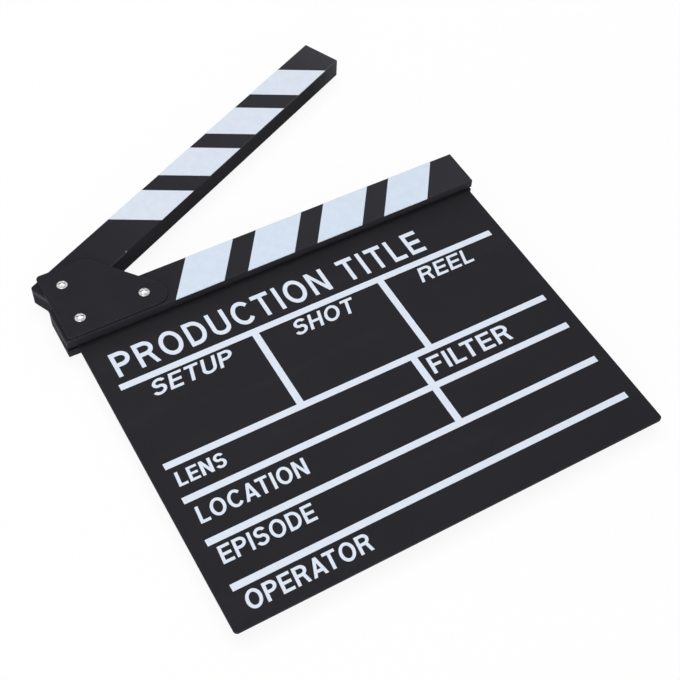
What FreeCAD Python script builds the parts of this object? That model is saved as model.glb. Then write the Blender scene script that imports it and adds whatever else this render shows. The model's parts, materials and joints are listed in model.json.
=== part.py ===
import FreeCAD, Part
import enum
import math
import os

import Sketcher

# A clapperboard that lies on its back. X runs along the sticks, Y from the board towards the clapper
# and Z out of the front. The origin is the middle of the board's lower edge, halfway through the board.

# Driving dimensions, in millimetres and degrees
DIMENSIONS = {
    # the board: board_drop is the height that shows below the lower stick
    "board_width": 290.0,
    "board_drop": 217.6,
    "board_thickness": 2.5,
    "board_corner_radius": 2.5,
    "board_edge_chamfer": 0.3,
    # what the two sticks share
    "stick_width": 29.5,
    "stick_thickness": 15.0,
    "stick_edge_radius": 0.8,
    "stick_end_chamfer": 0.4,
    # the lower stick: the overhang is past the board's left edge, the clearance is on each side of the board
    "lower_stick_length": 300.0,
    "lower_stick_overhang": 6.7,
    "groove_depth": 8.0,
    "groove_clearance": 0.05,
    # the clapper: its heel is round about the pivot, and the end face trims that round
    "clapper_length": 298.2,
    "clapper_side_clearance": 0.15,
    "clapper_corner_radius": 2.0,
    "heel_trim": 0.5,
    "closing_gap": 0.3,
    "opening_angle": 25.3,
    # where the hinge's three fasteners are
    "pivot_from_end": 15.0,
    "pivot_to_edge": 13.7,
    "fixing_above_groove": 5.6,
    # the hinge plates: margins run outwards from the fasteners, and widths to the sharp corners
    "plate_thickness": 1.5,
    "plate_left_margin": 12.9,
    "plate_right_margin": 24.6,
    "plate_top_margin": 14.2,
    "plate_bottom_margin": 12.4,
    "plate_top_width": 34.5,
    "plate_bottom_width": 81.0,
    "plate_corner_radius": 3.0,
    "plate_nose_radius": 9.5,
    "plate_rim_chamfer": 0.3,
    "plate_hole_clearance": 0.1,
    # the barrel nuts: the setback keeps the barrel's mouth below the front plate's face
    "barrel_diameter": 4.8,
    "barrel_clearance": 0.05,
    "barrel_setback": 0.3,
    "bore_depth": 11.0,
    "slot_width": 1.0,
    "slot_depth": 0.9,
    # the screws: the turn is where the cross recess stops when a screw is tight
    "screw_diameter": 3.2,
    "screw_length": 9.0,
    "screw_turn": 74.0,
    "thread_clearance": 0.05,
    "recess_span": 5.2,
    "recess_width": 1.1,
    "recess_depth": 1.1,
    # the low domed heads of screws and barrel nuts
    "head_diameter": 6.9,
    "head_rim": 0.3,
    "head_height": 1.9,
}

# Places that several pieces share, worked out from the driving dimensions
STICK_LEFT = "-Sizes.board_width / 2 - Sizes.lower_stick_overhang"
PIVOT_X = f"{STICK_LEFT} + Sizes.pivot_from_end"
PIVOT_Y = "Sizes.board_drop + Sizes.stick_width + Sizes.closing_gap + Sizes.pivot_to_edge"
FIXING_RISE = "Sizes.groove_depth + Sizes.fixing_above_groove"
FIXING_Y = f"Sizes.board_drop + {FIXING_RISE}"
FIXING_DROP = f"Sizes.pivot_to_edge + Sizes.closing_gap + Sizes.stick_width - ({FIXING_RISE})"
FIXING_SPACING = "(Sizes.plate_bottom_width - Sizes.plate_left_margin - Sizes.plate_right_margin)"
SECOND_FIXING_X = f"{PIVOT_X} + {FIXING_SPACING}"
FRONT_FACE = "Sizes.stick_thickness / 2"
PLATE_FACE = f"{FRONT_FACE} + Sizes.plate_thickness"
HEEL_LENGTH = "Sizes.pivot_to_edge - Sizes.heel_trim"
BARREL_LENGTH = "Sizes.stick_thickness + 2 * Sizes.plate_thickness - Sizes.barrel_setback"

NEAR = 0.001


class Point(enum.IntEnum):
    """Which point of a sketch's line, arc or circle a constraint holds."""
    START = 1
    END = 2
    CENTRE = 3


class Axis(enum.IntEnum):
    """A sketch's own axes, as constraints number them."""
    ACROSS = -1
    UP = -2


doc = FreeCAD.newDocument("Clapperboard")


def fill_sheet():
    """Writes each driving dimension to the sheet, with its name as the cell's alias."""
    sheet = doc.addObject("Spreadsheet::Sheet", "Sizes")
    for row, (name, size) in enumerate(DIMENSIONS.items(), 1):
        sheet.set(f"A{row}", name)
        sheet.set(f"B{row}", str(size))
        sheet.setAlias(f"B{row}", name)
    doc.recompute()


def new_body(name, x="0", y="0", z="0"):
    """A body whose origin is at the place that three expressions give."""
    body = doc.addObject("PartDesign::Body", name)
    for axis, expression in zip("xyz", (x, y, z)):
        body.setExpression(f"Placement.Base.{axis}", expression)
    return body


def new_sketch(body, name, role="XY_Plane", lift="0"):
    """A sketch on one of the body's own origin planes, lifted along the plane's normal."""
    plane = next(item for item in body.Origin.OriginFeatures if item.Role == role)
    sketch = body.newObject("Sketcher::SketchObject", f"{body.Name}_{name}")
    sketch.AttachmentSupport = [(plane, "")]
    sketch.MapMode = "FlatFace"
    sketch.setExpression("AttachmentOffset.Base.z", lift)
    return sketch


def number(sketch, expression):
    """What an expression comes to now, for the first place of a sketch's geometry."""
    return float(sketch.evalExpression(expression))


def bind_point(sketch, geometry, end, x, y):
    """Holds a point of the geometry at the place that two expressions give."""
    for kind, axis, expression in (("DistanceX", Axis.UP, x), ("DistanceY", Axis.ACROSS, y)):
        if expression == "0":
            sketch.addConstraint(Sketcher.Constraint("PointOnObject", geometry, end, axis))
            continue
        size = number(sketch, expression)
        distance = Sketcher.Constraint(kind, Axis.ACROSS, Point.START, geometry, end, size)
        index = sketch.addConstraint(distance)
        sketch.setExpression(f"Constraints[{index}]", expression)


def bind_radius(sketch, geometry, expression):
    radius = Sketcher.Constraint("Radius", geometry, number(sketch, expression))
    index = sketch.addConstraint(radius)
    sketch.setExpression(f"Constraints[{index}]", expression)


def draw_path(sketch, corners):
    """Straight lines from corner to corner, each corner a pair of expressions. Returns the lines."""
    points = [FreeCAD.Vector(number(sketch, x), number(sketch, y), 0) for x, y in corners]
    lines = []
    for start, end in zip(points, points[1:]):
        lines.append(sketch.addGeometry(Part.LineSegment(start, end), False))
    for line, (x, y) in zip(lines, corners):
        bind_point(sketch, line, Point.START, x, y)
    for line, following in zip(lines, lines[1:]):
        sketch.addConstraint(Sketcher.Constraint("Coincident", line, Point.END, following, Point.START))
    return lines


def draw_outline(sketch, corners):
    """A closed outline of straight lines."""
    lines = draw_path(sketch, corners + corners[:1])
    sketch.addConstraint(Sketcher.Constraint("Coincident", lines[-1], Point.END, lines[0], Point.START))


def draw_circle(sketch, x, y, radius):
    centre = FreeCAD.Vector(number(sketch, x), number(sketch, y), 0)
    circle = Part.Circle(centre, FreeCAD.Vector(0, 0, 1), number(sketch, radius))
    geometry = sketch.addGeometry(circle, False)
    bind_point(sketch, geometry, Point.CENTRE, x, y)
    bind_radius(sketch, geometry, radius)


def draw_arc(sketch, start, end, centre_y):
    """An arc, drawn anticlockwise, whose centre is on the sketch's vertical axis."""
    centre = FreeCAD.Vector(0, centre_y, 0)
    circle = Part.Circle(centre, FreeCAD.Vector(0, 0, 1), (start - centre).Length)
    angles = [math.atan2(point.y - centre_y, point.x) for point in (start, end)]
    arc = sketch.addGeometry(Part.ArcOfCircle(circle, *angles), False)
    sketch.addConstraint(Sketcher.Constraint("PointOnObject", arc, Point.CENTRE, Axis.UP))
    return arc


def pad(body, sketch, length):
    feature = body.newObject("PartDesign::Pad", f"{sketch.Name}_pad")
    feature.Profile = sketch
    feature.setExpression("Length", length)
    doc.recompute()


def cut(body, sketch, depth=None, upwards=False):
    """Pockets the sketch, through everything where no depth is given, and makes sure that it cut."""
    before = body.Shape.Volume
    feature = body.newObject("PartDesign::Pocket", f"{sketch.Name}_cut")
    feature.Profile = sketch
    if depth is None:
        feature.SideType = "Symmetric"
        feature.Type = "ThroughAll"
    else:
        feature.setExpression("Length", depth)
        feature.Reversed = upwards
    doc.recompute()
    if body.Shape.Volume > before - NEAR:
        raise RuntimeError(f"{feature.Name} cuts nothing")


def dress_edges(body, name, kind, size, chosen):
    """Adds a feature to the edges of the body's last one that the test chooses."""
    base = body.Tip
    edges = [f"Edge{i}" for i, edge in enumerate(base.Shape.Edges, 1) if chosen(edge)]
    feature = body.newObject(f"PartDesign::{kind}", f"{body.Name}_{name}")
    feature.Base = (base, edges)
    feature.setExpression("Radius" if kind == "Fillet" else "Size", size)
    doc.recompute()


def round_edges(body, name, radius, chosen):
    dress_edges(body, name, "Fillet", radius, chosen)


def bevel_edges(body, name, size, chosen):
    dress_edges(body, name, "Chamfer", size, chosen)


def runs_along(edge, direction):
    """True for a straight edge that is parallel to the direction."""
    if edge.Curve.TypeId != "Part::GeomLine":
        return False
    return abs(edge.Curve.Direction.dot(FreeCAD.Vector(*direction))) > 1 - NEAR


def slate_board():
    """The thin board, whose upper edge stands on the floor of the lower stick's groove."""
    body = new_body("slate_board")
    outline = new_sketch(body, "outline", lift="-Sizes.board_thickness / 2")
    half, top = "Sizes.board_width / 2", "Sizes.board_drop + Sizes.groove_depth"
    draw_outline(outline, [(f"-{half}", "0"), (half, "0"), (half, top), (f"-{half}", top)])
    pad(body, outline, "Sizes.board_thickness")

    def lower_corner(edge):
        return runs_along(edge, (0, 0, 1)) and edge.CenterOfMass.y < NEAR

    def face_outline(edge):
        return edge.BoundBox.ZLength < NEAR

    round_edges(body, "corners", "Sizes.board_corner_radius", lower_corner)
    bevel_edges(body, "edges", "Sizes.board_edge_chamfer", face_outline)
    return body


def lower_stick():
    """The fixed stick: a grooved bar with the two holes of the hinge's fixings. Its origin is at its
    left end, on its lower edge, halfway through its thickness."""
    body = new_body("lower_stick", STICK_LEFT, "Sizes.board_drop", "0")
    section = new_sketch(body, "section", "YZ_Plane")
    half, slot = FRONT_FACE, "(Sizes.board_thickness / 2 + Sizes.groove_clearance)"
    width, floor = "Sizes.stick_width", "Sizes.groove_depth"
    draw_outline(section, [
        ("0", f"-{half}"), (width, f"-{half}"), (width, half), ("0", half),
        ("0", slot), (floor, slot), (floor, f"-{slot}"), ("0", f"-{slot}"),
    ])
    pad(body, section, "Sizes.lower_stick_length")

    faces = doc.Sizes.stick_thickness / 2
    groove_side = number(section, slot)
    groove_floor = number(section, floor)

    def long_arris(edge):
        return runs_along(edge, (1, 0, 0)) and abs(edge.CenterOfMass.z) > faces - NEAR

    def end_outline(edge):
        place = edge.CenterOfMass
        in_groove = abs(place.z) < groove_side + NEAR and place.y < groove_floor + NEAR
        return edge.BoundBox.XLength < NEAR and not in_groove

    round_edges(body, "arrises", "Sizes.stick_edge_radius", long_arris)
    bevel_edges(body, "ends", "Sizes.stick_end_chamfer", end_outline)
    holes = new_sketch(body, "holes")
    for x in ("Sizes.pivot_from_end", f"Sizes.pivot_from_end + {FIXING_SPACING}"):
        draw_circle(holes, x, FIXING_RISE, "Sizes.barrel_diameter / 2 + Sizes.barrel_clearance")
    cut(body, holes)
    return body


def clapper_stick():
    """The stick that turns. Its origin is on the pivot, and its heel is an arc about the pivot, so that it
    rolls past the lower stick at the gap that the closed sticks have."""
    body = new_body("clapper_stick", PIVOT_X, PIVOT_Y, "0")
    body.setExpression("Placement.Rotation.Angle", "Sizes.opening_angle")
    thickness = "(Sizes.stick_thickness - 2 * Sizes.clapper_side_clearance)"
    outline = new_sketch(body, "outline", lift=f"-{thickness} / 2")
    left, bottom = f"-({HEEL_LENGTH})", "-Sizes.pivot_to_edge"
    right = f"Sizes.clapper_length - ({HEEL_LENGTH})"
    top = "Sizes.stick_width - Sizes.pivot_to_edge"
    heel_end = f"-sqrt(Sizes.pivot_to_edge ^ 2 - ({HEEL_LENGTH}) ^ 2)"
    lines = draw_path(outline, [("0", bottom), (right, bottom), (right, top), (left, top), (left, heel_end)])
    start = FreeCAD.Vector(number(outline, left), number(outline, heel_end), 0)
    end = FreeCAD.Vector(0, number(outline, bottom), 0)
    heel = draw_arc(outline, start, end, 0.0)
    outline.addConstraint(Sketcher.Constraint("Coincident", lines[-1], Point.END, heel, Point.START))
    outline.addConstraint(Sketcher.Constraint("Coincident", heel, Point.END, lines[0], Point.START))
    outline.addConstraint(Sketcher.Constraint("PointOnObject", heel, Point.CENTRE, Axis.ACROSS))
    outline.addConstraint(Sketcher.Constraint("Vertical", lines[-1]))
    pad(body, outline, thickness)

    heel_x = -number(outline, HEEL_LENGTH)
    tip_x = number(outline, right)
    corner_y = number(outline, top)
    faces = number(outline, f"{thickness} / 2")

    def top_left_corner(edge):
        place = edge.CenterOfMass
        return runs_along(edge, (0, 0, 1)) and place.x < heel_x + NEAR and place.y > corner_y - NEAR

    def long_arris(edge):
        return runs_along(edge, (1, 0, 0)) and abs(edge.CenterOfMass.z) > faces - NEAR

    def tip_outline(edge):
        return edge.BoundBox.XMin > tip_x - NEAR

    round_edges(body, "corner", "Sizes.clapper_corner_radius", top_left_corner)
    round_edges(body, "arrises", "Sizes.stick_edge_radius", long_arris)
    bevel_edges(body, "tip", "Sizes.stick_end_chamfer", tip_outline)
    hole = new_sketch(body, "hole")
    draw_circle(hole, "0", "0", "Sizes.barrel_diameter / 2 + Sizes.barrel_clearance")
    cut(body, hole)
    return body


def hinge_plate(name, z, outer_face):
    """A flat plate across the left ends of both sticks, with a bevelled rim round its outer face. Its origin
    is on the pivot, on its lower face."""
    body = new_body(name, PIVOT_X, PIVOT_Y, z)
    outline = new_sketch(body, "outline")
    left, top = "-Sizes.plate_left_margin", "Sizes.plate_top_margin"
    bottom = f"-({FIXING_DROP} + Sizes.plate_bottom_margin)"
    draw_outline(outline, [
        (left, bottom),
        (f"{left} + Sizes.plate_bottom_width", bottom),
        (f"{left} + Sizes.plate_top_width", top),
        (left, top),
    ])
    pad(body, outline, "Sizes.plate_thickness")

    left_x = number(outline, left)
    outer_z = number(outline, outer_face)

    def right_corner(edge):
        return runs_along(edge, (0, 0, 1)) and edge.CenterOfMass.x > left_x + NEAR

    def left_corner(edge):
        return runs_along(edge, (0, 0, 1)) and edge.CenterOfMass.x < left_x + NEAR

    def rim(edge):
        return edge.BoundBox.ZLength < NEAR and abs(edge.CenterOfMass.z - outer_z) < NEAR

    round_edges(body, "right_corners", "Sizes.plate_nose_radius", right_corner)
    round_edges(body, "left_corners", "Sizes.plate_corner_radius", left_corner)
    bevel_edges(body, "rim", "Sizes.plate_rim_chamfer", rim)
    holes = new_sketch(body, "holes")
    for x, y in (("0", "0"), ("0", f"-({FIXING_DROP})"), (FIXING_SPACING, f"-({FIXING_DROP})")):
        draw_circle(holes, x, y, "Sizes.barrel_diameter / 2 + Sizes.plate_hole_clearance")
    cut(body, holes)
    return body


def headed_pin(body, stem_radius, stem_length):
    """Revolves a stem that hangs below a domed head. The head's seat is the body's XY plane."""
    profile = new_sketch(body, "profile", "XZ_Plane")
    rim, height, radius = "Sizes.head_rim", "Sizes.head_height", "Sizes.head_diameter / 2"
    lines = draw_path(profile, [
        ("0", height), ("0", f"-({stem_length})"), (stem_radius, f"-({stem_length})"),
        (stem_radius, "0"), (radius, "0"), (radius, rim),
    ])
    high, low, wide = (number(profile, item) for item in (height, rim, radius))
    centre_y = (high ** 2 - low ** 2 - wide ** 2) / (2 * (high - low))
    dome = draw_arc(profile, FreeCAD.Vector(wide, low, 0), FreeCAD.Vector(0, high, 0), centre_y)
    bind_point(profile, dome, Point.START, radius, rim)
    profile.addConstraint(Sketcher.Constraint("Coincident", lines[-1], Point.END, dome, Point.START))
    profile.addConstraint(Sketcher.Constraint("Coincident", dome, Point.END, lines[0], Point.START))
    feature = body.newObject("PartDesign::Revolution", f"{body.Name}_turned")
    feature.Profile = profile
    feature.ReferenceAxis = (profile, ["V_Axis"])
    feature.Angle = 360
    doc.recompute()


def screw(name, x, y):
    """A domed screw with a cross recess, seated on the front plate."""
    body = new_body(name, x, y, PLATE_FACE)
    body.setExpression("Placement.Rotation.Angle", "Sizes.screw_turn")
    headed_pin(body, "Sizes.screw_diameter / 2", "Sizes.screw_length")
    arm, half = "Sizes.recess_span / 2", "Sizes.recess_width / 2"
    recess = new_sketch(body, "recess", lift="Sizes.head_height")
    draw_outline(recess, [
        (arm, f"-{half}"), (arm, half), (half, half), (half, arm),
        (f"-{half}", arm), (f"-{half}", half), (f"-{arm}", half), (f"-{arm}", f"-{half}"),
        (f"-{half}", f"-{half}"), (f"-{half}", f"-{arm}"), (half, f"-{arm}"), (half, f"-{half}"),
    ])
    cut(body, recess, "Sizes.recess_depth")
    return body


def barrel_nut(name, x, y):
    """A slotted domed head with a smooth barrel, bored for the screw. It is turned over, so that its head
    is seated on the back plate and its mouth ends just below the front plate's face."""
    body = new_body(name, x, y, f"-({PLATE_FACE})")
    body.Placement.Rotation = FreeCAD.Rotation(FreeCAD.Vector(1, 0, 0), 180)
    headed_pin(body, "Sizes.barrel_diameter / 2", BARREL_LENGTH)
    bore = new_sketch(body, "bore", lift=f"-({BARREL_LENGTH})")
    draw_circle(bore, "0", "0", "Sizes.screw_diameter / 2 + Sizes.thread_clearance")
    cut(body, bore, "Sizes.bore_depth", upwards=True)
    slot = new_sketch(body, "slot", lift="Sizes.head_height")
    half_length, half = "Sizes.head_diameter / 2", "Sizes.slot_width / 2"
    draw_outline(slot, [
        (f"-{half_length}", f"-{half}"), (half_length, f"-{half}"),
        (half_length, half), (f"-{half_length}", half),
    ])
    cut(body, slot, "Sizes.slot_depth")
    return body


def group(name, make):
    """The same fastener at both fixings, as one sub-part of two separate solids."""
    pieces = [make(f"{name}_left", PIVOT_X, FIXING_Y), make(f"{name}_right", SECOND_FIXING_X, FIXING_Y)]
    compound = doc.addObject("Part::Compound", name)
    compound.Links = pieces
    return compound


def check(parts):
    """Stops before anything is written if an object failed or a sub-part has no sound shape."""
    for item in doc.Objects:
        if "Invalid" in item.State or "Error" in item.State:
            raise RuntimeError(f"{item.Label} is {item.State}")
    for part in parts:
        if part.Shape.isNull() or not part.Shape.isValid():
            raise RuntimeError(f"{part.Label} has no valid shape")


fill_sheet()
parts = [
    slate_board(),
    lower_stick(),
    clapper_stick(),
    hinge_plate("front_hinge_plate", FRONT_FACE, "Sizes.plate_thickness"),
    hinge_plate("back_hinge_plate", f"-({PLATE_FACE})", "0"),
    screw("pivot_screw", PIVOT_X, PIVOT_Y),
    barrel_nut("pivot_barrel_nut", PIVOT_X, PIVOT_Y),
    group("fixing_screws", screw),
    group("fixing_barrel_nuts", barrel_nut),
]
doc.recompute()
check(parts)
os.makedirs("parts", exist_ok=True)
for part in parts:
    part.Shape.exportStep(f"parts/{part.Label}.step")
    box = part.Shape.BoundBox
    print(f"{part.Label}: {len(part.Shape.Solids)} solid(s), {part.Shape.Volume:.1f} mm3,",
          f"{box.XLength:.1f} x {box.YLength:.1f} x {box.ZLength:.1f} mm")
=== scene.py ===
import json
import math

import bmesh
import bpy
from mathutils import Matrix, Vector, geometry


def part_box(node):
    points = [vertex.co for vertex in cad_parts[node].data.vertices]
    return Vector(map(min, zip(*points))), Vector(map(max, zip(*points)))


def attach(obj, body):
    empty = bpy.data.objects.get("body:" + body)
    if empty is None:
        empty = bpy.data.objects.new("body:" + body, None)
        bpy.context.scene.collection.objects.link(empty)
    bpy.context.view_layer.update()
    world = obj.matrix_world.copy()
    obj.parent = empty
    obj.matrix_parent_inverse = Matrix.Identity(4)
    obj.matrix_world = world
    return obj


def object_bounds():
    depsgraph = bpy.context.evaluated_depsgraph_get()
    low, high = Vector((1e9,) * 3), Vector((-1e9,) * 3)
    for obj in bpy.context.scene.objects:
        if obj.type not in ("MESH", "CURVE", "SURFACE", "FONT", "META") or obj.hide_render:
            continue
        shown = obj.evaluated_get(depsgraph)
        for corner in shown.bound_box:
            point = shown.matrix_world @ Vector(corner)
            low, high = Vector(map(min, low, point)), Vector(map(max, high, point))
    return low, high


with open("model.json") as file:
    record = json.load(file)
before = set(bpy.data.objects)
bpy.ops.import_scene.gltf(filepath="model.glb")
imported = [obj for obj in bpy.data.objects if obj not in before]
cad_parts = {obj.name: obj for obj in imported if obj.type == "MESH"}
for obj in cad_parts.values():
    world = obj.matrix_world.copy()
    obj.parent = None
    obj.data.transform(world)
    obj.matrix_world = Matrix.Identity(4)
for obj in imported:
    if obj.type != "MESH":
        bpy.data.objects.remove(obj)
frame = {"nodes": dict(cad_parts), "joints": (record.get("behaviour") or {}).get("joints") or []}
cad_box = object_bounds()

# A clapperboard that lies on its back on a white studio floor. The frame is in metres: X runs along the
# sticks, Y from the board towards the clapper and Z out of the front.
MM = 0.001

# The photograph's camera: where it stands, the point at the middle of its picture, and its lens
CAMERA_PLACE = (-0.24864, -0.25553, 0.62504)
CAMERA_TARGET = (0.0016, 0.14506, 0.0)
CAMERA_ROLL = math.radians(3.07)
CAMERA_LENS = 65.73
CAMERA_SENSOR = 36.0
CAMERA_NEAR = 0.01

# The studio's round floor, which curves up into a low wall
FLOOR_MIDDLE = 0.25
FLOOR_RADIUS = 2.4
FLOOR_SIDES = 96
COVE_RADIUS = 0.8
COVE_STEPS = 10
# The floor's colour as the light meets it and as it is seen, and the share of its look that is plain white
FLOOR_BOUNCE = (0.6, 0.6, 0.6)
FLOOR_SEEN = (0.95, 0.95, 0.95)
FLOOR_GLOW = 0.9
# Soft boxes, which all face one point: place, length of a side and power
LIGHT_TARGET = (0.0, 0.18, 0.0)
SOFT_LIGHTS = {
    "overhead_light": ((0.05, 0.7, 2.05), 2.0, 35.0),
    "low_light": ((-1.6, -1.4, 0.5), 1.0, 28.0),
}
SURROUND_STRENGTH = 0.33

# Colours of the finishes in linear light. Where there are two, the finish varies between them
BOARD_BLACK = (0.0071, 0.0071, 0.0108), (0.0086, 0.0086, 0.0125)
STICK_BLACK = (0.0184, 0.0178, 0.0225), (0.0220, 0.0214, 0.0261)
PLATE_BLACK = (0.0186, 0.0180, 0.0228), (0.0218, 0.0211, 0.0262)
PLATING = (0.88, 0.88, 0.89), (0.97, 0.97, 0.97)
LOWER_STICK_WHITE = (0.612, 0.699, 0.815), (0.66, 0.747, 0.863)
CLAPPER_WHITE = (0.646, 0.706, 0.804), (0.694, 0.754, 0.852)
BOARD_WHITE = (0.675, 0.738, 0.84), (0.725, 0.788, 0.89)
WIPED_CHALK = (0.1, 0.1, 0.108)
# Painted shade for the corner under the lower stick
SHADE_UNDER_STICK = (0.003, 0.003, 0.0044)
WORN_BOARD = (0.08, 0.076, 0.074)
# Painted sheen and light on the sticks
PAINTED_SHEEN = (0.075, 0.0755, 0.084)
# Worn edges of the sticks, and the painted highlights and glints on them
WEAR_AND_HIGHLIGHT_PAINT = (0.1, 0.098, 0.098)
CHIPPED_PAINT = (0.16, 0.16, 0.165)
# Worn plate edges, and the painted glint along them
PLATE_WEAR_AND_GLINT = (0.13, 0.13, 0.136)
# Painted shade in the fasteners' recesses
RECESS_SHADE = (0.12, 0.12, 0.13)
INK_PINHOLE = (0.2, 0.21, 0.23)

# The board paint's stipple, which shows through the ink, in repeats per metre
STIPPLE_SCALE = 1900.0
# Painted shade: the board's paint is darkened in the corner under the lower stick, where the stick's shadow
# falls, from this far below the stick to this far
CORNER_START = 20 * MM
CORNER_END = 1 * MM
# Where the paint of each stick is chipped, in the stick's own frame: a spot on the lower arris of its front
CLAPPER_CHIP = (46.6 * MM, -12.8 * MM, 7.35 * MM)
STICK_CHIP = (-148.8 * MM, 221.3 * MM, 7.5 * MM)
# A stick's tip carries a painted sheen over this length. Its lower front arris carries a painted highlight
# that grows ever brighter, from this far past the hinge end
TIP_LENGTH = 35 * MM
ARRIS_START = 100 * MM

# The white ink: a film that stands this far proud of the paint, with its underside sunk a little into it
INK_HEIGHT = 0.06 * MM
INK_SINK = 0.02 * MM

# The slanted stripes of both sticks: where the first one starts on the stick's upper edge, from its left
# end, how wide each is along the stick, and the angle of its sides to the stick
STRIPE_COUNT = 4
STRIPE_PITCH = 51.43 * MM
LOWER_STICK_FIRST = 95.0 * MM
LOWER_STICK_STRIPE = 34.35 * MM
LOWER_STICK_SLANT = math.radians(54.81)
CLAPPER_FIRST = 74.0 * MM
CLAPPER_STRIPE = 33.65 * MM
CLAPPER_SLANT = math.radians(125.88)
# The sticks' arrises have this radius. The stripes go this far round the upper one of both sticks, and
# round the lower one of each
STICK_EDGE_RADIUS = 0.8 * MM
UPPER_WRAP = math.radians(80)
LOWER_STICK_WRAP = math.radians(78)
CLAPPER_WRAP = math.radians(35)
WRAP_STEPS = 6

# The ruled lines of the board: heights of their upper edges above the board's lower edge
RULE_WIDTH = 4.48 * MM
RULE_LEFT = -135.0 * MM
RULE_RIGHT = 135.9 * MM
RULE_TOPS = [177.83 * MM, 114.0 * MM, 88.4 * MM, 57.95 * MM, 26.85 * MM]
# Upright lines: the left edge, and the two ruled lines that it stands between
UPRIGHT_WIDTH = 4.68 * MM
UPRIGHTS = [(-46.02 * MM, 0, 1), (45.75 * MM, 0, 1), (32.15 * MM, 1, 2), (32.15 * MM, 2, 3)]

# The board's words in millimetres: left edge, baseline, width and height of the capitals. Then, as shares of
# the height, how far they lean, the gap between letters and the width of an upright stroke
WORDS = {
    "PRODUCTION TITLE": (-132.0, 182.8, 222.0, 18.9, 0.0, 0.17, 0.14),
    "SETUP": (-119.5, 159.6, 57.0, 11.7, 0.24, 0.13, 0.15),
    "SHOT": (-21.5, 159.6, 46.0, 11.7, 0.24, 0.13, 0.15),
    "REEL": (72.0, 159.6, 43.5, 11.7, 0.24, 0.13, 0.14),
    "LENS": (-132.5, 95.6, 32.0, 10.0, 0.08, 0.12, 0.175),
    "FILTER": (40.0, 93.6, 60.0, 12.8, 0.08, 0.13, 0.15),
    "LOCATION": (-132.0, 68.0, 71.0, 11.5, 0.08, 0.12, 0.157),
    "EPISODE": (-132.0, 39.4, 60.5, 11.5, 0.08, 0.12, 0.15),
    "OPERATOR": (-132.0, 7.6, 79.0, 11.7, 0.08, 0.12, 0.157),
}
# All letters, as shares of the height of the capitals: widths of those that aren't a single stem, the level
# strokes, how far round strokes pass the ends of straight ones, and the gap between words
LETTER_WIDTHS = {
    "A": 0.69, "C": 0.65, "D": 0.65, "E": 0.56, "F": 0.52, "H": 0.63, "L": 0.5,
    "N": 0.64, "O": 0.74, "P": 0.6, "R": 0.64, "S": 0.61, "T": 0.6, "U": 0.63,
}
BAR = 0.164
OVERSHOOT = 0.01
WORD_GAP = 0.54
# Pairs whose open sides face each other stand this much closer
CLOSE_PAIRS = ("AT", "LT")
CLOSER = 0.12
BEND_STEPS = 18


def local_box(name, matrix):
    """Lowest and highest corner of a CAD node in a frame of its own."""
    inverse = matrix.inverted()
    points = [inverse @ vertex.co for vertex in frame["nodes"][name].data.vertices]
    low = Vector(min(point[axis] for point in points) for axis in range(3))
    high = Vector(max(point[axis] for point in points) for axis in range(3))
    return low, high


# The frame of each stick, with X along it away from the hinge
hinge = frame["joints"][0]
OPENING = -math.radians(hinge["range_deg"][0])
CLAPPER_FRAME = Matrix.Translation(hinge["pos_m"]) @ Matrix.Rotation(OPENING, 4, "Z")
STICK_FRAME = Matrix.Identity(4)


# Material nodes

MASK_SAMPLES = 8
# A Mix node has several inputs and outputs of one name, so its colours go by their numbers
MIX_FIRST = 6
MIX_SECOND = 7
MIX_RESULT = 2


def node(tree, kind, inputs=None, **settings):
    """Adds a node with its settings, and links or sets its inputs by name or number."""
    made = tree.nodes.new(kind)
    for name, value in settings.items():
        setattr(made, name, value)
    for key, value in (inputs or {}).items():
        if isinstance(value, bpy.types.NodeSocket):
            tree.links.new(value, made.inputs[key])
        else:
            made.inputs[key].default_value = value
    return made


def new_material(name):
    """A material with a Principled shader. Returns the material, its node tree and the shader."""
    material = bpy.data.materials.new(name)
    material.use_nodes = True
    return material, material.node_tree, material.node_tree.nodes["Principled BSDF"]


def finish(tree, shader, colour, roughness, normal, specular=0.5):
    """Links the shader's colour, roughness and normal, and sets the level of its reflection."""
    tree.links.new(colour, shader.inputs["Base Color"])
    tree.links.new(roughness, shader.inputs["Roughness"])
    tree.links.new(normal, shader.inputs["Normal"])
    shader.inputs["Specular IOR Level"].default_value = specular


def piece_place(tree, matrix=None):
    """Coordinates in metres that stay with the piece, in a frame of its own where one is given."""
    place = node(tree, "ShaderNodeTexCoord").outputs["Object"]
    if matrix is None:
        return place
    inputs = {"Vector": place, "Location": matrix.translation, "Rotation": matrix.to_euler()}
    return node(tree, "ShaderNodeMapping", inputs, vector_type="TEXTURE").outputs["Vector"]


def stretched(tree, place, scale):
    """Coordinates in which a noise of scale 1 has these repeats per metre along X, Y and Z."""
    return node(tree, "ShaderNodeMapping", {"Vector": place, "Scale": scale}).outputs["Vector"]


def axes(tree, vector):
    """The X, Y and Z of a vector, by number or name."""
    return node(tree, "ShaderNodeSeparateXYZ", {"Vector": vector}).outputs


def noise(tree, place, scale, detail=3.0, roughness=0.55):
    """Noise from 0 to 1, with scale in repeats per metre."""
    inputs = {"Vector": place, "Scale": scale, "Detail": detail, "Roughness": roughness}
    return node(tree, "ShaderNodeTexNoise", inputs).outputs["Fac"]


def spread(tree, value, low, high, to_low=0.0, to_high=1.0):
    """Maps the range low to high onto another range, without going past its ends."""
    inputs = {"Value": value, "From Min": low, "From Max": high, "To Min": to_low, "To Max": to_high}
    return node(tree, "ShaderNodeMapRange", inputs).outputs["Result"]


def math_node(tree, operation, first, second=0.0):
    return node(tree, "ShaderNodeMath", {0: first, 1: second}, operation=operation).outputs[0]


def product(tree, first, second):
    return math_node(tree, "MULTIPLY", first, second)


def larger(tree, first, second):
    return math_node(tree, "MAXIMUM", first, second)


def vector_math(tree, operation, first, second, result="Value"):
    made = node(tree, "ShaderNodeVectorMath", {0: first, 1: second}, operation=operation)
    return made.outputs[result]


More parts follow.
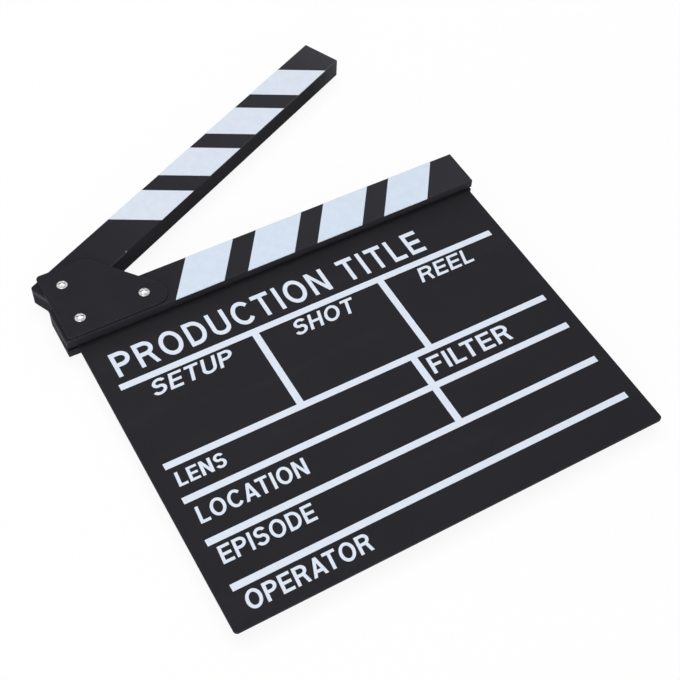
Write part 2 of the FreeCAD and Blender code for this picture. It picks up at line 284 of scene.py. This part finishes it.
def blend_colour(tree, factor, first, second):
    """Mixes two colours, each a socket or three numbers."""
    inputs = {"Factor": factor}
    for key, colour in ((MIX_FIRST, first), (MIX_SECOND, second)):
        is_socket = isinstance(colour, bpy.types.NodeSocket)
        inputs[key] = colour if is_socket else (*colour, 1.0)
    return node(tree, "ShaderNodeMix", inputs, data_type="RGBA").outputs[MIX_RESULT]


def varied(tree, value, colours):
    """A colour that varies between two with a noise."""
    return blend_colour(tree, spread(tree, value, 0.3, 0.7), *colours)


def bump(tree, height, distance, normal=None):
    """A bump whose height from 0 to 1 stands for the distance in metres."""
    inputs = {"Height": height, "Distance": distance, "Strength": 1.0}
    if normal is not None:
        inputs["Normal"] = normal
    return node(tree, "ShaderNodeBump", inputs).outputs["Normal"]


def edge_mask(tree, radius):
    """1 along convex and concave edges, 0 on open faces."""
    rounded = node(tree, "ShaderNodeBevel", {"Radius": radius}, samples=MASK_SAMPLES).outputs["Normal"]
    flat = node(tree, "ShaderNodeNewGeometry").outputs["Normal"]
    return spread(tree, vector_math(tree, "DOT_PRODUCT", rounded, flat), 0.995, 0.93)


def hollows(tree, reach):
    """1 deep in slots and recesses, 0 on open faces."""
    settings = {"samples": MASK_SAMPLES, "only_local": True}
    occlusion = node(tree, "ShaderNodeAmbientOcclusion", {"Distance": reach}, **settings)
    return spread(tree, occlusion.outputs["AO"], 0.92, 0.5)


def worn_edges(tree, place, radius, breakup_scale, evenly=0.0):
    """The edge mask, broken up as rubbed paint is, but everywhere at least as strong as evenly says, which
    paints an even glint along the edges.
    """
    patches = spread(tree, noise(tree, place, breakup_scale, detail=4.0), 0.42, 0.68)
    return product(tree, edge_mask(tree, radius), larger(tree, patches, evenly))


# Finishes

def board_paint():
    """Matt black paint, rolled on smooth fibreboard, with worn edges, the faint haze of wiped chalk, and
    painted shade that darkens it in the corner under the lower stick."""
    material, tree, shader = new_material("board_paint")
    place = piece_place(tree)
    cloud = noise(tree, place, scale=14.0, detail=5.0, roughness=0.6)
    colour = varied(tree, cloud, BOARD_BLACK)
    wiped = noise(tree, stretched(tree, place, (6.0, 34.0, 20.0)), scale=1.0, detail=6.0, roughness=0.65)
    colour = blend_colour(tree, spread(tree, wiped, 0.52, 0.78, to_high=0.06), colour, WIPED_CHALK)
    # Painted shade: darker towards the corner under the lower stick, where the stick's shadow falls on the
    # board
    stick_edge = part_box("lower_stick")[0].y
    near_stick = spread(tree, axes(tree, place)["Y"], stick_edge - CORNER_START, stick_edge - CORNER_END)
    corner = product(tree, math_node(tree, "POWER", near_stick, 2.0), 0.9)
    colour = blend_colour(tree, corner, colour, SHADE_UNDER_STICK)
    edge_lightening = product(tree, worn_edges(tree, place, radius=0.5 * MM, breakup_scale=260.0), 0.35)
    colour = blend_colour(tree, edge_lightening, colour, WORN_BOARD)
    roughness = spread(tree, cloud, 0.25, 0.75, to_low=0.6, to_high=0.72)
    stipple = noise(tree, place, scale=STIPPLE_SCALE, detail=2.0)
    finish(tree, shader, colour, roughness, bump(tree, stipple, 0.012 * MM), specular=0.19)
    return material


def painted_sheen_and_light(tree, box, place, front, lip, tip):
    """Painted sheen and light on a stick: lighter ever more towards its free end on the front and back,
    painted light along the lips of its lower side, and a painted sheen at its tip, there most of all on the
    lower side."""
    low, high = box
    along, across, depth = axes(tree, place)
    normal = node(tree, "ShaderNodeNewGeometry").outputs["Normal"]
    level = math_node(tree, "ABSOLUTE", axes(tree, normal)["Z"])
    front_sheen = product(tree, spread(tree, along, low.x, high.x, to_high=front), level)
    lower_side = spread(tree, across, low.y + 1.0 * MM, low.y + 0.2 * MM)
    lips = spread(tree, math_node(tree, "ABSOLUTE", depth), 0.2 * high.z, 0.6 * high.z)
    lip_light = spread(tree, along, low.x, high.x, to_low=lip, to_high=2.0 * lip)
    lip_light = product(tree, product(tree, lower_side, lips), lip_light)
    near_tip = spread(tree, along, high.x - TIP_LENGTH, high.x)
    below_tip = product(tree, product(tree, lower_side, near_tip), 4.0 * tip)
    tip_sheen = product(tree, near_tip, math_node(tree, "ADD", below_tip, tip))
    return math_node(tree, "ADD", larger(tree, front_sheen, lip_light), tip_sheen)


def arris_highlight(tree, box, place, chip_place, tip):
    """A painted highlight along the lower arris of a stick's front: even from the hinge end to the chip, and
    ever brighter towards the tip."""
    low, high = box
    along, across, depth = axes(tree, place)
    near_side = spread(tree, across, low.y + 1.3 * MM, low.y + 0.5 * MM)
    near_front = spread(tree, depth, high.z - 1.3 * MM, high.z - 0.5 * MM)
    to_chip = spread(tree, along, chip_place[0] + 1 * MM, chip_place[0] - 1 * MM, to_high=0.22)
    to_tip = spread(tree, along, low.x + ARRIS_START, high.x, to_high=2.0 * tip)
    return product(tree, product(tree, near_side, near_front), larger(tree, to_chip, to_tip))


def end_glint(tree, box, place):
    """A painted glint: a light streak across the face at a stick's hinge end, just behind its front."""
    low, high = box
    along, _, depth = axes(tree, place)
    end_face = spread(tree, along, low.x + 0.6 * MM, low.x + 0.2 * MM, to_high=0.55)
    back_limit = spread(tree, depth, 0.3 * high.z, 0.55 * high.z)
    front_limit = spread(tree, depth, high.z, 0.7 * high.z)
    return product(tree, end_face, product(tree, back_limit, front_limit))


def stick_paint(name, matrix, box, chip_place, front_sheen, lip_light, tip_sheen):
    """Satin black paint on wood, with the grain along the stick, painted sheen and light that grow towards
    its free end, worn arrises, a painted highlight along the lower front arris, a painted glint at the hinge
    end and a small chip."""
    material, tree, shader = new_material(name)
    place = piece_place(tree, matrix)
    colour = varied(tree, noise(tree, place, scale=22.0, detail=4.0), STICK_BLACK)
    # Painted sheen and light: lighter towards the free end, on the lower side's lips and at the tip
    sheen_and_light = painted_sheen_and_light(tree, box, place, front_sheen, lip_light, tip_sheen)
    colour = blend_colour(tree, sheen_and_light, colour, PAINTED_SHEEN)
    edge_lightening = product(tree, worn_edges(tree, place, radius=0.7 * MM, breakup_scale=180.0), 0.5)
    # Painted highlight along the lower front arris, and a painted glint at the hinge end
    edge_lightening = larger(tree, edge_lightening, arris_highlight(tree, box, place, chip_place, tip_sheen))
    edge_lightening = larger(tree, edge_lightening, end_glint(tree, box, place))
    colour = blend_colour(tree, edge_lightening, colour, WEAR_AND_HIGHLIGHT_PAINT)
    chip = spread(tree, vector_math(tree, "DISTANCE", place, chip_place), 0.8 * MM, 0.5 * MM)
    colour = blend_colour(tree, chip, colour, CHIPPED_PAINT)
    grain = noise(tree, stretched(tree, place, (9.0, 620.0, 620.0)), scale=1.0, detail=5.0, roughness=0.6)
    roughness = spread(tree, grain, 0.3, 0.7, to_low=0.55, to_high=0.68)
    peel = noise(tree, place, scale=900.0, detail=2.0)
    normal = bump(tree, grain, 0.018 * MM, bump(tree, peel, 0.006 * MM))
    finish(tree, shader, colour, roughness, normal, specular=0.03)
    return material


def plate_coat():
    """A black coating on sheet steel, with a fine even pebble, and worn edges with a painted glint along
    them, along the lower edge most of all.
    """
    material, tree, shader = new_material("plate_coat")
    place = piece_place(tree)
    cloud = noise(tree, place, scale=45.0, detail=4.0)
    colour = varied(tree, cloud, PLATE_BLACK)
    lower_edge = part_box("front_hinge_plate")[0].y
    height = axes(tree, place)["Y"]
    # Painted glint: an even lightening along the plate's edges, strongest along the lower edge
    even_glint = spread(tree, height, lower_edge + 4 * MM, lower_edge + 2 * MM, to_low=0.25, to_high=0.75)
    edge_lightening = product(tree, worn_edges(tree, place, 0.35 * MM, breakup_scale=420.0, evenly=even_glint), 0.6)
    colour = blend_colour(tree, edge_lightening, colour, PLATE_WEAR_AND_GLINT)
    roughness = spread(tree, cloud, 0.25, 0.75, to_low=0.5, to_high=0.62)
    pebble = noise(tree, place, scale=1500.0, detail=1.5)
    finish(tree, shader, colour, roughness, bump(tree, pebble, 0.009 * MM), specular=0.04)
    return material


def axis_distance(tree, place, centres):
    """How far a point is from the nearest of several upright axes."""
    flat = vector_math(tree, "MULTIPLY", place, (1.0, 1.0, 0.0), result="Vector")
    nearest = None
    for x, y in centres:
        away = vector_math(tree, "DISTANCE", flat, (x, y, 0.0))
        nearest = away if nearest is None else math_node(tree, "MINIMUM", nearest, away)
    return nearest


def bright_plating():
    """Bright plated steel with fine rings of turning about each fastener's axis, with painted shade and more
    roughness deep in the recesses.
    """
    material, tree, shader = new_material("bright_plating")
    place = piece_place(tree)
    pivot_low, pivot_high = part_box("pivot_screw")
    pivot = (pivot_low + pivot_high) / 2
    radius = pivot_high.x - pivot.x
    low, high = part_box("fixing_screws")
    middle = (low.y + high.y) / 2
    centres = [pivot.xy, (low.x + radius, middle), (high.x - radius, middle)]
    distance = axis_distance(tree, place, centres)
    turned = node(tree, "ShaderNodeCombineXYZ", {"X": distance}).outputs[0]
    rings = noise(tree, turned, scale=5200.0, detail=2.0)
    smear = noise(tree, place, scale=900.0)
    colour = blend_colour(tree, spread(tree, smear, 0.35, 0.7), *PLATING)
    # Painted shade: darker deep in the recesses that the occlusion mask finds
    recess = hollows(tree, 1.0 * MM)
    colour = blend_colour(tree, product(tree, recess, 0.9), colour, RECESS_SHADE)
    polish = spread(tree, smear, 0.3, 0.7, to_low=0.34, to_high=0.42)
    roughness = math_node(tree, "ADD", polish, product(tree, recess, 0.2))
    finish(tree, shader, colour, roughness, bump(tree, rings, 0.003 * MM))
    shader.inputs["Metallic"].default_value = 1.0
    return material


def white_ink(name, colours):
    """Screen-printed white ink: slightly cool, with a faint mottle, pinholes and the paint's stipple under
    it. Its colour runs between that of the thin and the thick places of the film."""
    material, tree, shader = new_material(name)
    place = piece_place(tree)
    mottle = noise(tree, place, scale=160.0, detail=5.0, roughness=0.6)
    colour = varied(tree, mottle, colours)
    pinholes = spread(tree, noise(tree, place, scale=2600.0, detail=1.0), 0.76, 0.82, to_high=0.5)
    colour = blend_colour(tree, pinholes, colour, INK_PINHOLE)
    roughness = spread(tree, mottle, 0.3, 0.7, to_low=0.48, to_high=0.6)
    stipple = noise(tree, place, scale=STIPPLE_SCALE, detail=2.0)
    finish(tree, shader, colour, roughness, bump(tree, stipple, 0.01 * MM), specular=0.3)
    return material


def studio_white():
    """A white floor that shows as plain white where nothing shades it, and keeps a soft shadow."""
    material = bpy.data.materials.new("studio_white")
    material.use_nodes = True
    tree = material.node_tree
    tree.nodes.clear()
    rays = node(tree, "ShaderNodeLightPath").outputs
    seen = larger(tree, rays["Is Camera Ray"], rays["Is Glossy Ray"])
    seen = larger(tree, seen, rays["Is Transmission Ray"])
    colour = blend_colour(tree, seen, FLOOR_BOUNCE, FLOOR_SEEN)
    paint = node(tree, "ShaderNodeBsdfDiffuse", {"Color": colour}).outputs[0]
    glow = node(tree, "ShaderNodeEmission", {"Color": (1.0, 1.0, 1.0, 1.0), "Strength": 1.0}).outputs[0]
    share = product(tree, seen, FLOOR_GLOW)
    mixed = node(tree, "ShaderNodeMixShader", {0: share, 1: paint, 2: glow}).outputs[0]
    node(tree, "ShaderNodeOutputMaterial", {"Surface": mixed})
    return material


def dress(name, material):
    """Gives a CAD node its finish."""
    frame["nodes"][name].data.materials.clear()
    frame["nodes"][name].data.materials.append(material)


# Pieces of ink

def mesh_object(name, builder, material):
    """An object in the scene from a bmesh, which is used up, and its material."""
    mesh = bpy.data.meshes.new(name)
    builder.to_mesh(mesh)
    builder.free()
    mesh.materials.append(material)
    made = bpy.data.objects.new(name, mesh)
    bpy.context.scene.collection.objects.link(made)
    return made


def new_piece(name, builder, material, body):
    """A piece of ink from a bmesh, with its material and body."""
    bmesh.ops.recalc_face_normals(builder, faces=builder.faces)
    piece = mesh_object(name, builder, material)
    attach(piece, body)


def wrap_section(low, high, wrap, offset):
    """Points (y, z) over a stick's front, from as far round its lower arris as the wrap says to part way
    round its upper one, at an offset from the paint."""
    radius = STICK_EDGE_RADIUS + offset
    lower_y = low.y + STICK_EDGE_RADIUS
    upper_y = high.y - STICK_EDGE_RADIUS
    centre_z = high.z - STICK_EDGE_RADIUS
    points = []
    for step in range(WRAP_STEPS + 1):
        angle = wrap * (1 - step / WRAP_STEPS)
        points.append((lower_y - radius * math.sin(angle), centre_z + radius * math.cos(angle)))
    for step in range(WRAP_STEPS + 1):
        angle = UPPER_WRAP * step / WRAP_STEPS
        points.append((upper_y + radius * math.sin(angle), centre_z + radius * math.cos(angle)))
    return points


def stripe(name, body, matrix, box, start, width, slant, wrap, material):
    """One slanted stripe of ink on a stick, from its start on the stick's upper edge."""
    low, high = box
    builder = bmesh.new()
    layers = []
    for offset in (-INK_SINK, INK_HEIGHT):
        rows = []
        for y, z in wrap_section(low, high, wrap, offset):
            left = low.x + start - (high.y - y) / math.tan(slant)
            ends = [Vector((left, y, z)), Vector((left + width, y, z))]
            rows.append([builder.verts.new(matrix @ end) for end in ends])
        layers.append(rows)
    under, over = layers
    for row in range(len(under) - 1):
        after = row + 1
        builder.faces.new((over[row][0], over[row][1], over[after][1], over[after][0]))
        builder.faces.new((under[row][0], under[after][0], under[after][1], under[row][1]))
        for end in (0, 1):
            builder.faces.new((under[row][end], over[row][end], over[after][end], under[after][end]))
    for row in (0, -1):
        builder.faces.new((under[row][0], under[row][1], over[row][1], over[row][0]))
    new_piece(name, builder, material, body)


def add_film(builder, corners, faces, board_face):
    """A closed film of ink on the board over a flat shape, which is given by its corners and faces."""
    lower = [builder.verts.new((x, y, board_face - INK_SINK)) for x, y in corners]
    upper = [builder.verts.new((x, y, board_face + INK_HEIGHT)) for x, y in corners]
    sides = set()
    for face in faces:
        builder.faces.new([upper[corner] for corner in face])
        builder.faces.new([lower[corner] for corner in reversed(face)])
        sides |= set(zip(face, face[1:] + face[:1]))
    for first, second in sides:
        if (second, first) not in sides:
            builder.faces.new((lower[first], lower[second], upper[second], upper[first]))
    for vertex in lower + upper:
        if not vertex.link_faces:
            builder.verts.remove(vertex)


def bar(left, right, low, high):
    """An upright or level stroke."""
    return [(left, low), (right, low), (right, high), (left, high)]


def ruled_lines(board_face, material):
    """The five long lines of the board and the uprights between them."""
    lines = [bar(RULE_LEFT, RULE_RIGHT, top - RULE_WIDTH, top) for top in RULE_TOPS]
    for left, above, below in UPRIGHTS:
        upper_end = RULE_TOPS[above] - RULE_WIDTH
        lines.append(bar(left, left + UPRIGHT_WIDTH, RULE_TOPS[below], upper_end))
    builder = bmesh.new()
    for line in lines:
        add_film(builder, line, [tuple(range(len(line)))], board_face)
    new_piece("ruled_lines", builder, material, "slate")


# Letters, for capitals of height 1

def slope(stroke, foot, head, low=0.0, high=1.0):
    """A slanted stroke with level ends of one width, from its foot's left edge to its head's."""
    return [(foot, low), (foot + stroke, low), (head + stroke, high), (head, high)]


def stem(stroke, left, low=0.0, high=1.0):
    return bar(left, left + stroke, low, high)


def bend(stroke, centre, radii, first, last):
    """A round stroke: part of an oval ring, anticlockwise between two angles in degrees. It is as wide as an
    upright stroke at its sides, and as a level one at its top and bottom."""
    outer, inner = [], []
    for step in range(BEND_STEPS + 1):
        angle = math.radians(first + (last - first) * step / BEND_STEPS)
        across, up = math.cos(angle), math.sin(angle)
        outer.append((centre[0] + radii[0] * across, centre[1] + radii[1] * up))
        inner.append((centre[0] + (radii[0] - stroke) * across, centre[1] + (radii[1] - BAR) * up))
    return outer + inner[::-1]


def bowl(stroke, width, low, radius):
    """The round part of a letter that stands on a stem: two level strokes, of which the upper one is at the
    top of the letter, and the bend that joins them."""
    turn = width - radius
    half = (1 - low) / 2
    joint = bend(stroke, (turn, low + half), (radius, half), -90, 90)
    return [bar(0, turn, 1 - BAR, 1), bar(0, turn, low, low + BAR), joint]


def letter_strokes(letter, width, stroke):
    """The strokes of a capital letter of this width, with this width of its upright strokes."""
    middle = width / 2
    right = width - stroke
    left_stem, right_stem = stem(stroke, 0), stem(stroke, right)
    head, foot = bar(0, width, 1 - BAR, 1), bar(0, width, 0, BAR)
    half_way = (0.5 - BAR / 2, 0.5 + BAR / 2)
    round_height = 0.5 + OVERSHOOT
    if letter == "A":
        legs = [slope(stroke, 0, right / 2), slope(stroke, right, right / 2)]
        return legs + [bar(0.15, width - 0.15, 0.2, 0.2 + BAR)]
    if letter == "C":
        return [bend(stroke, (0.365, 0.5), (0.365, round_height), 38, 322)]
    if letter == "D":
        return [left_stem] + bowl(stroke, width, 0, 0.37)
    if letter == "E":
        return [left_stem, head, bar(0, width - 0.03, *half_way), foot]
    if letter == "F":
        return [left_stem, head, bar(0, width - 0.05, 0.41, 0.41 + BAR)]
    if letter == "H":
        return [left_stem, right_stem, bar(0, width, *half_way)]
    if letter == "I":
        return [left_stem]
    if letter == "L":
        return [left_stem, foot]
    if letter == "N":
        return [left_stem, right_stem, slope(stroke, right, 0)]
    if letter == "O":
        oval = (middle, 0.5), (middle, round_height)
        return [bend(stroke, *oval, 0, 180), bend(stroke, *oval, 180, 360)]
    if letter == "P":
        return [left_stem] + bowl(stroke, width, 0.39, 0.3)
    if letter == "R":
        leg = slope(stroke, right, 0.34, high=0.48)
        return [left_stem, leg] + bowl(stroke, width - 0.02, 0.41, 0.29)
    if letter == "S":
        waist = 0.445
        upper, lower = (1 - waist) / 2, (waist + BAR) / 2
        upper_bend = bend(stroke, (middle, 1 - upper), (0.29, upper + OVERSHOOT), 20, 270)
        return [upper_bend, bend(stroke, (middle, lower), (middle, lower + OVERSHOOT), -160, 90)]
    if letter == "T":
        return [head, stem(stroke, right / 2)]
    if letter == "U":
        turn = 0.31
        sides = [stem(stroke, 0, low=turn), stem(stroke, right, low=turn)]
        return sides + [bend(stroke, (middle, turn), (middle, turn + OVERSHOOT), 180, 360)]
    raise ValueError(f"no strokes for {letter}")


def joined(strokes):
    """Overlapping strokes as one flat shape: its points, and the triangles that fill it."""
    points, outlines = [], []
    for stroke in strokes:
        outlines.append(list(range(len(points), len(points) + len(stroke))))
        points += [Vector(point) for point in stroke]
    filled = geometry.delaunay_2d_cdt(points, [], outlines, 1, 1e-5)
    corners, triangles, sources = filled[0], filled[2], filled[5]
    return corners, [triangle for triangle, source in zip(triangles, sources) if source]


def set_letters(text, gap, stroke):
    """The letters of a line of words side by side, each as its place and strokes, and the whole width."""
    place, letters = 0.0, []
    for letter, following in zip(text, text[1:] + " "):
        if letter == " ":
            place += WORD_GAP - gap
            continue
        width = LETTER_WIDTHS.get(letter, stroke)
        letters.append((place, letter_strokes(letter, width, stroke)))
        place += width + gap
        if letter + following in CLOSE_PAIRS:
            place -= CLOSER
    return letters, place - gap


def words(text, board_face, material):
    """A line of words in ink on the board, fitted to its width and to the height of its capitals."""
    left, baseline, width, height, lean, gap, stroke = WORDS[text]
    letters, whole = set_letters(text, gap, stroke)
    stretch = (width - lean * height) / whole
    builder = bmesh.new()
    for place, strokes in letters:
        corners, triangles = joined(strokes)
        placed = []
        for x, y in corners:
            across = left + (place + x) * stretch + lean * y * height
            placed.append((across * MM, (baseline + y * height) * MM))
        add_film(builder, placed, triangles, board_face)
    new_piece(f"words_{text.lower().replace(' ', '_')}", builder, material, "slate")


# Studio

def studio_floor():
    """A round white floor that curves up into a low wall, well outside every view."""
    bottom = cad_box[0].z
    profile = [(FLOOR_MIDDLE, 0.0), (FLOOR_RADIUS, 0.0)]
    for step in range(1, COVE_STEPS + 1):
        angle = math.pi / 2 * step / COVE_STEPS
        rise = COVE_RADIUS * (1 - math.cos(angle))
        profile.append((FLOOR_RADIUS + COVE_RADIUS * math.sin(angle), rise))
    profile.append((FLOOR_RADIUS + COVE_RADIUS, 2 * COVE_RADIUS))
    builder = bmesh.new()
    turns = [2 * math.pi * side / FLOOR_SIDES for side in range(FLOOR_SIDES)]
    rings = []
    for radius, height in profile:
        places = [(radius * math.cos(turn), radius * math.sin(turn), bottom + height) for turn in turns]
        rings.append([builder.verts.new(place) for place in places])
    builder.faces.new(rings[0])
    for inner, outer in zip(rings, rings[1:]):
        for side in range(FLOOR_SIDES):
            after = (side + 1) % FLOOR_SIDES
            builder.faces.new((inner[side], outer[side], outer[after], inner[after]))
    floor = mesh_object("studio_floor", builder, studio_white())


def aimed(place, target):
    """The turn of a lamp or camera at a place that looks at a target."""
    return (Vector(target) - Vector(place)).to_track_quat("-Z", "Y")


def soft_light(name, place, size, power):
    """A square soft box that faces the lights' target."""
    light = bpy.data.lights.new(name, "AREA")
    light.shape = "SQUARE"
    light.size = size
    light.energy = power
    lamp = bpy.data.objects.new(name, light)
    lamp.location = place
    lamp.rotation_euler = aimed(place, LIGHT_TARGET).to_euler()
    bpy.context.scene.collection.objects.link(lamp)


def studio_light():
    """A large soft box overhead, a low one on the left of the camera, and an even surround."""
    for name, (place, size, power) in SOFT_LIGHTS.items():
        soft_light(name, place, size, power)
    world = bpy.data.worlds.new("studio_surround")
    world.use_nodes = True
    surround = world.node_tree.nodes["Background"]
    surround.inputs["Color"].default_value = (1.0, 1.0, 1.0, 1.0)
    surround.inputs["Strength"].default_value = SURROUND_STRENGTH
    bpy.context.scene.world = world


def photograph_camera():
    """The camera of the photograph."""
    data = bpy.data.cameras.new("photograph_camera")
    data.sensor_width = CAMERA_SENSOR
    data.lens = CAMERA_LENS
    data.clip_start = CAMERA_NEAR
    camera = bpy.data.objects.new("photograph_camera", data)
    turn = aimed(CAMERA_PLACE, CAMERA_TARGET).to_matrix().to_4x4() @ Matrix.Rotation(CAMERA_ROLL, 4, "Z")
    camera.matrix_world = Matrix.Translation(CAMERA_PLACE) @ turn
    bpy.context.scene.collection.objects.link(camera)
    bpy.context.scene.camera = camera


plate = plate_coat()
plating = bright_plating()
stripe_ink = white_ink("stripe_ink", LOWER_STICK_WHITE)
clapper_ink = white_ink("clapper_ink", CLAPPER_WHITE)
print_ink = white_ink("print_ink", BOARD_WHITE)
stick_box = local_box("lower_stick", STICK_FRAME)
clapper_box = local_box("clapper_stick", CLAPPER_FRAME)
dress("slate_board", board_paint())
dress("lower_stick", stick_paint(
    "lower_stick_paint", STICK_FRAME, stick_box, STICK_CHIP, front_sheen=0.22, lip_light=0.18, tip_sheen=0.0,
))
dress("clapper_stick", stick_paint(
    "clapper_paint", CLAPPER_FRAME, clapper_box, CLAPPER_CHIP, front_sheen=0.28, lip_light=0.0, tip_sheen=0.21,
))
for plate_name in ("front_hinge_plate", "back_hinge_plate"):
    dress(plate_name, plate)
for fastener in ("pivot_screw", "pivot_barrel_nut", "fixing_screws", "fixing_barrel_nuts"):
    dress(fastener, plating)

for number in range(STRIPE_COUNT):
    shift = number * STRIPE_PITCH
    stripe(
        f"lower_stripe_{number + 1}", "slate", STICK_FRAME, stick_box,
        LOWER_STICK_FIRST + shift, LOWER_STICK_STRIPE, LOWER_STICK_SLANT, LOWER_STICK_WRAP, stripe_ink,
    )
    stripe(
        f"clapper_stripe_{number + 1}", "clapper", CLAPPER_FRAME, clapper_box,
        CLAPPER_FIRST + shift, CLAPPER_STRIPE, CLAPPER_SLANT, CLAPPER_WRAP, clapper_ink,
    )
face_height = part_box("slate_board")[1].z
ruled_lines(face_height, print_ink)
for line_of_words in WORDS:
    words(line_of_words, face_height, print_ink)

studio_floor()
studio_light()
photograph_camera()
bpy.context.scene.view_settings.view_transform = "Standard"
